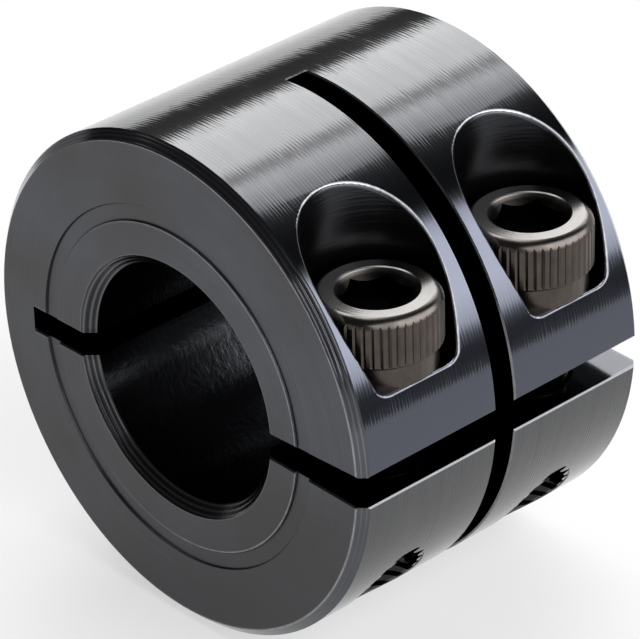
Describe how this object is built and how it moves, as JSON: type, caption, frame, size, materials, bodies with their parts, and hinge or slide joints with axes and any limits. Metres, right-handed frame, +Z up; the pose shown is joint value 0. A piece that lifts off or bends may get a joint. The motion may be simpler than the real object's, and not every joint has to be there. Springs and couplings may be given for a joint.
{
  "type": "shaft collar",
  "caption": "Double-wide one-piece clamping shaft collar in black-oxide steel, slit and relieved to flex, closed by knurled socket head cap screws in side pockets.",
  "frame": {"origin": "centre of the bore, half way along its length", "axes": "+Y along the bore, away from the grooved front face; +X towards the clamp slot; +Z up, towards the screw heads"},
  "size_m": [0.0334, 0.0238, 0.0334],
  "materials": {
    "collar_steel": "satin black oxide on turned steel",
    "screw_steel": "black oxide on alloy steel, brownish"
  },
  "bodies": {
    "collar": {"collar_body": "collar_steel"},
    "front_screw_lead": {"front_screw_shank": "screw_steel"},
    "front_screw": {"front_screw_head": "screw_steel"},
    "rear_screw_lead": {"rear_screw_shank": "screw_steel"},
    "rear_screw": {"rear_screw_head": "screw_steel"}
  },
  "joints": [
    {"name": "front_screw_advance", "type": "slide", "parent": "collar", "child": "front_screw_lead", "axis": [0, 0, 1], "range_m": [0, 0.00635]},
    {"name": "front_screw_turn", "type": "hinge", "parent": "front_screw_lead", "child": "front_screw", "pos_m": [0.0124, -0.0064, 0.00492], "axis": [0, 0, 1], "range_deg": [0, 2880]},
    {"name": "rear_screw_advance", "type": "slide", "parent": "collar", "child": "rear_screw_lead", "axis": [0, 0, 1], "range_m": [0, 0.00635]},
    {"name": "rear_screw_turn", "type": "hinge", "parent": "rear_screw_lead", "child": "rear_screw", "pos_m": [0.0124, 0.0064, 0.00492], "axis": [0, 0, 1], "range_deg": [0, 2880]}
  ],
  "couplings": [
    {"joint": "front_screw_turn", "follows": "front_screw_advance", "rad_per_m": 7915.8},
    {"joint": "rear_screw_turn", "follows": "rear_screw_advance", "rad_per_m": 7915.8}
  ]
}
